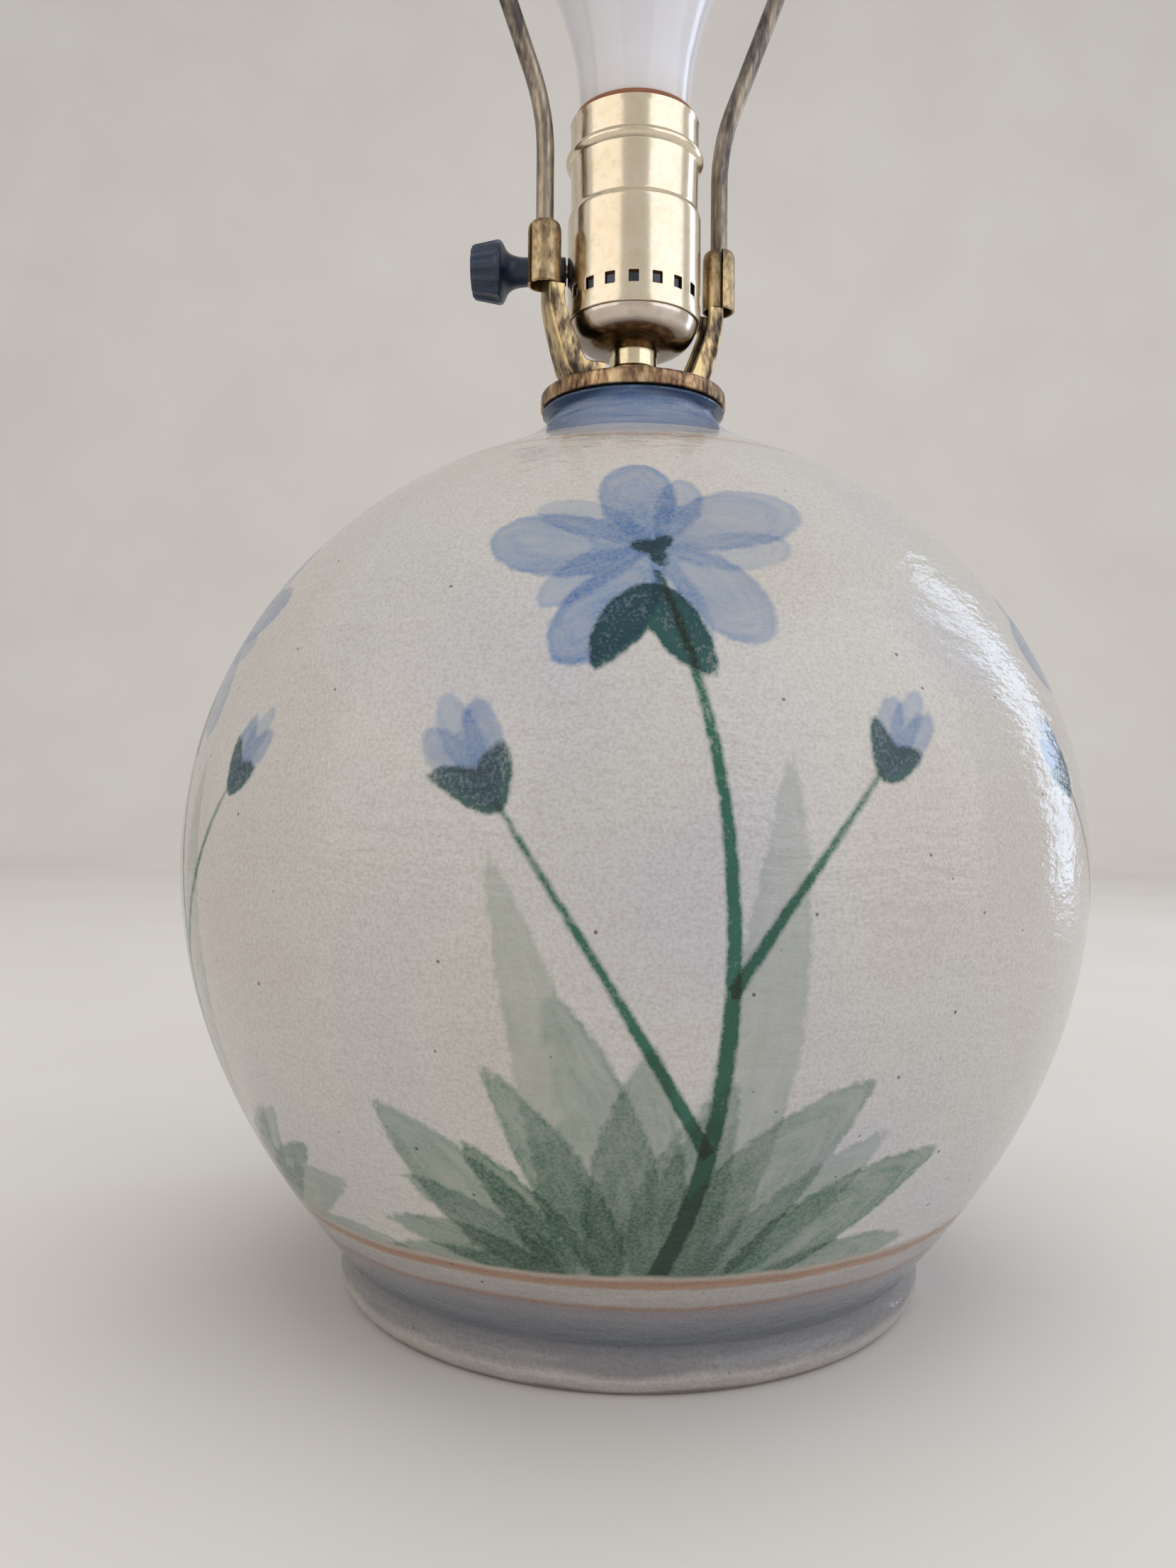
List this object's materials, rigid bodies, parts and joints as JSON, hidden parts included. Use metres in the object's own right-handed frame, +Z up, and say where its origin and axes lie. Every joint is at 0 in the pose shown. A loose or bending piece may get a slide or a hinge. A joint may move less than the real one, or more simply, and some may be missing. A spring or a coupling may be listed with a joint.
{
  "type": "ceramic table lamp",
  "caption": "Round thrown ceramic pot lamp with a brass vase cap, turn-knob socket, opal bulb, and a detachable wire harp with sliding sleeves, shade stud and finial.",
  "frame": {"origin": "on the table at the centre of the pot's foot", "axes": "+Z up along the pipe, -X towards the turn knob, harp plane turned 21.2 degrees from +X about +Z"},
  "size_m": [0.223, 0.223, 0.4867],
  "materials": {
    "glazed_pot": "semi-gloss glaze over grey-white stoneware with fine iron specks",
    "black_rubber": "matt",
    "steel": "dull zinc plate",
    "aged_brass": "brown patina worn to gold on the edges",
    "bright_brass": "bright polished",
    "fibre_board": "matt vulcanised fibre",
    "dark_plastic": "matt moulded",
    "black_plastic": "satin moulded",
    "aluminium": "bright rolled",
    "opal_glass": "gloss opal white"
  },
  "bodies": {
    "base": {"pot": "glazed_pot", "pot_foot": "glazed_pot", "cord_bushing": "black_rubber", "threaded_pipe": "steel", "base_washer": "steel", "base_lock_washer": "steel", "base_nut": "aged_brass", "vase_cap": "aged_brass", "saddle": "aged_brass", "saddle_lock_washer": "steel", "check_nut": "aged_brass", "socket_cap": "bright_brass", "hub_set_screw": "bright_brass", "socket_shell": "bright_brass", "insulating_liner": "fibre_board", "socket_body": "dark_plastic", "terminal_screw_brass": "bright_brass", "terminal_screw_silver": "steel", "screw_shell": "bright_brass", "centre_contact": "bright_brass"},
    "knob": {"turn_knob": "black_plastic", "switch_shaft": "aged_brass"},
    "bulb": {"bulb_tip_contact": "aluminium", "bulb_base_insulator": "black_plastic", "bulb_screw_base": "aluminium", "bulb_glass": "opal_glass"},
    "harp": {"harp": "aged_brass"},
    "left_sleeve": {"left_sleeve": "aged_brass"},
    "right_sleeve": {"right_sleeve": "aged_brass"},
    "stud": {"shade_stud": "aged_brass"},
    "finial": {"finial": "aged_brass"}
  },
  "joints": [
    {"name": "switch_knob_turn", "type": "hinge", "parent": "base", "child": "knob", "pos_m": [0, 0, 0.2589], "axis": [-1, 0, 0], "continuous": true},
    {"name": "bulb_unscrew", "type": "slide", "parent": "base", "child": "bulb", "axis": [0, 0, 1], "range_m": [0, 0.03]},
    {"name": "harp_lift", "type": "slide", "parent": "base", "child": "harp", "axis": [0, 0, 1], "range_m": [0, 0.026]},
    {"name": "left_sleeve_lift", "type": "slide", "parent": "harp", "child": "left_sleeve", "axis": [0, 0, 1], "range_m": [0, 0.016]},
    {"name": "right_sleeve_lift", "type": "slide", "parent": "harp", "child": "right_sleeve", "axis": [0, 0, 1], "range_m": [0, 0.016]},
    {"name": "shade_stud_swivel", "type": "hinge", "parent": "harp", "child": "stud", "pos_m": [0, 0, 0.4564], "axis": [0, 0, 1], "continuous": true},
    {"name": "finial_lift", "type": "slide", "parent": "stud", "child": "finial", "axis": [0, 0, 1], "range_m": [0, 0.014]}
  ]
}
